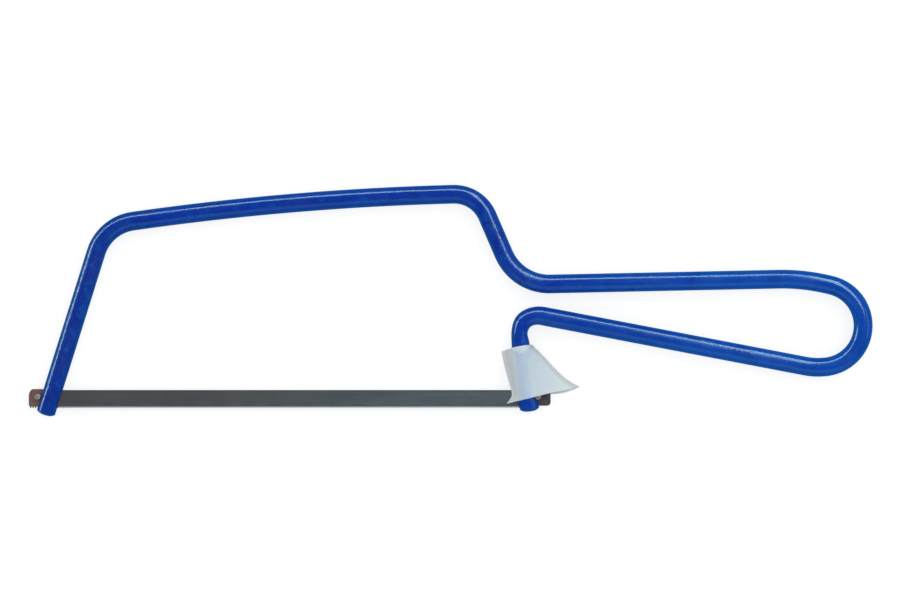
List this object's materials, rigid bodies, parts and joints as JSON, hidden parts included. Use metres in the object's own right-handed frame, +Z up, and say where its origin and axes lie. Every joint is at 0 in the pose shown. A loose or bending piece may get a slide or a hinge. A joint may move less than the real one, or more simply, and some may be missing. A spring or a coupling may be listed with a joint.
{
  "type": "hacksaw",
  "caption": "Small hacksaw bent from one blue enamelled steel rod that forms bow and looped handle, with a thin pinned blade in its slotted legs and a folded paper label.",
  "frame": {"origin": "centre of the bounding box's footprint on the surface that the saw lies on, on its side", "axes": "+X along the blade from its free end towards the handle, +Y from the blade to the top of the bow, +Z up through the saw's thickness"},
  "size_m": [0.2688, 0.0734, 0.007],
  "materials": {
    "blue_enamel": "gloss enamel with small runs and chips",
    "blade_steel": "dark blued steel, heat-tinted ends",
    "pin_steel": "satin, heat-tinted brown",
    "label_paper": "matt blank pale label stock"
  },
  "bodies": {
    "frame": {"rod_handle": "blue_enamel", "paper_label": "label_paper"},
    "bow": {"rod_bow": "blue_enamel"},
    "blade": {"blade": "blade_steel", "front_pin": "pin_steel", "rear_pin": "pin_steel"}
  },
  "joints": [
    {"name": "frame_spring", "type": "hinge", "parent": "frame", "child": "bow", "pos_m": [-0.05031, 0.03099, 0.0035], "axis": [0, 0, 1], "range_deg": [0, 4.6], "stiffness_Nm_per_rad": 60},
    {"name": "blade_swing", "type": "hinge", "parent": "frame", "child": "blade", "pos_m": [0.02778, -0.0307, 0.0035], "axis": [0, 0, 1], "range_deg": [0, 5.6]}
  ],
  "couplings": [
    {"joint": "blade_swing", "follows": "frame_spring", "ratio": 1.2}
  ]
}
